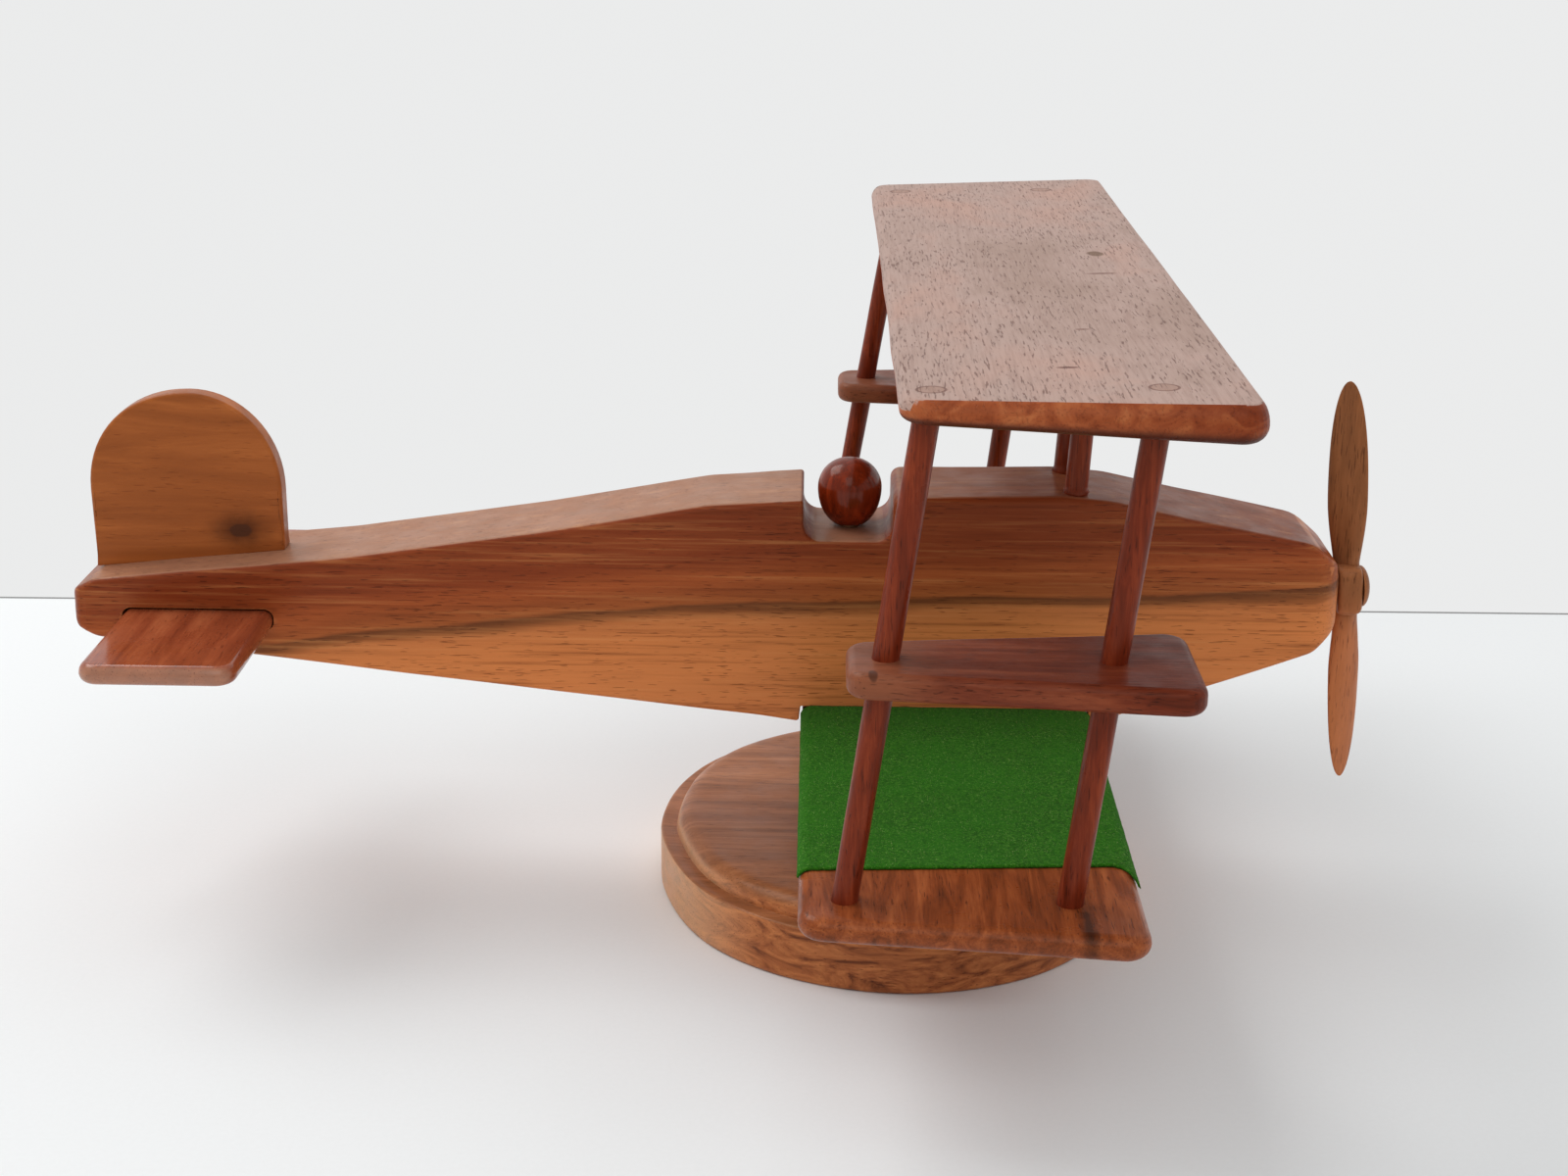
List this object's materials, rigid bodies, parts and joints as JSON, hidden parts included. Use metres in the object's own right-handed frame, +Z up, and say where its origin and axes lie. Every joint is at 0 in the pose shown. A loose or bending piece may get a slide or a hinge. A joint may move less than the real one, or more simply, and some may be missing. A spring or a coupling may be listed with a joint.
{
  "type": "toy plane",
  "caption": "Hand-made varnished wooden biplane on a round plinth, with felt on the lower wing, a bead pilot and a carved propeller that spins.",
  "frame": {"origin": "point on the plinth's underside on the stand post's axis", "axes": "+X to the nose, +Y to the left wing tip, +Z up"},
  "size_m": [0.4578, 0.4083, 0.228],
  "materials": {
    "plinth_wood": "varnished",
    "post_wood": "varnished",
    "wing_wood": "glossy varnish",
    "top_wing_wood": "worn bare on top, varnished edges",
    "strip_wood": "satin varnish",
    "dowel_wood": "glossy varnish",
    "fuselage_wood": "satin varnish",
    "head_wood": "glossy varnish",
    "fin_wood": "satin varnish",
    "tailplane_wood": "glossy varnish",
    "propeller_wood": "satin varnish",
    "plain_wood": "bare",
    "green_felt": "matt, speckled"
  },
  "bodies": {
    "airframe": {"base": "plinth_wood", "stand_post": "post_wood", "lower_wing": "wing_wood", "felt_right": "green_felt", "felt_left": "green_felt", "strut_strip_right": "strip_wood", "strut_strip_left": "strip_wood", "top_wing": "top_wing_wood", "strut_rear_right": "dowel_wood", "strut_rear_left": "dowel_wood", "strut_front_right": "dowel_wood", "strut_front_left": "dowel_wood", "cabane_strut_right": "dowel_wood", "cabane_strut_left": "dowel_wood", "fuselage": "fuselage_wood", "wing_dowel_rear": "plain_wood", "wing_dowel_front": "plain_wood", "pilot_head": "head_wood", "pilot_peg": "plain_wood", "tail_fin": "fin_wood", "fin_dowel_rear": "plain_wood", "fin_dowel_front": "plain_wood", "tailplane": "tailplane_wood", "propeller_peg": "propeller_wood"},
    "propeller": {"propeller": "propeller_wood"}
  },
  "joints": [
    {"name": "propeller_spin", "type": "hinge", "parent": "airframe", "child": "propeller", "pos_m": [0.1502, 0, 0.1144], "axis": [0.9983, 0, 0.0576], "continuous": true}
  ]
}
